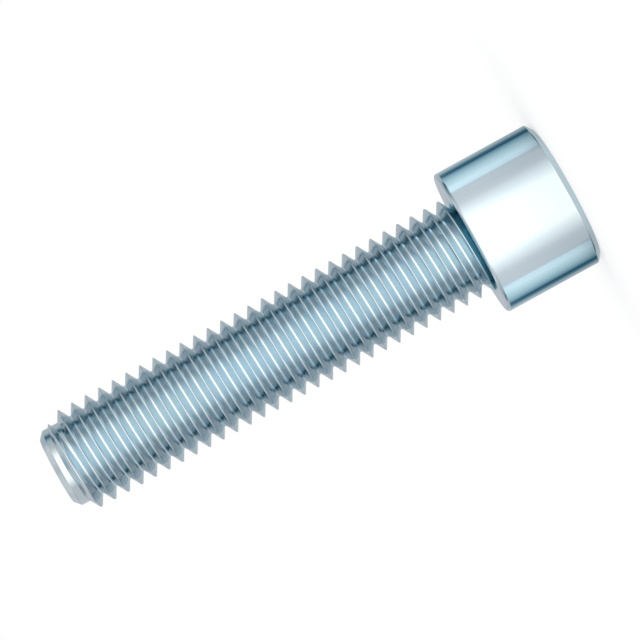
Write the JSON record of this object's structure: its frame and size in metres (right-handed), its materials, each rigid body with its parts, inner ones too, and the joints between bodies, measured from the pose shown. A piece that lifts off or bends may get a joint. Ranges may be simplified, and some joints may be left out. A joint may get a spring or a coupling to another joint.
{
  "type": "socket head cap screw",
  "caption": "Socket head cap screw with a plain cylindrical head, a hexagon socket and a coarse metric thread running right up to the head, in bright zinc plate.",
  "frame": {"origin": "middle of the head's flat top, the face that the screw stands on", "axes": "+Z along the screw's axis from the head to the tip; the hexagon socket has two of its corners on the X axis"},
  "size_m": [0.0176, 0.0176, 0.0658],
  "materials": {
    "zinc_plate": "bright blue-white zinc plate on steel, smooth and mirror-like"
  },
  "bodies": {
    "root": {"cap_screw": "zinc_plate"}
  },
  "joints": []
}
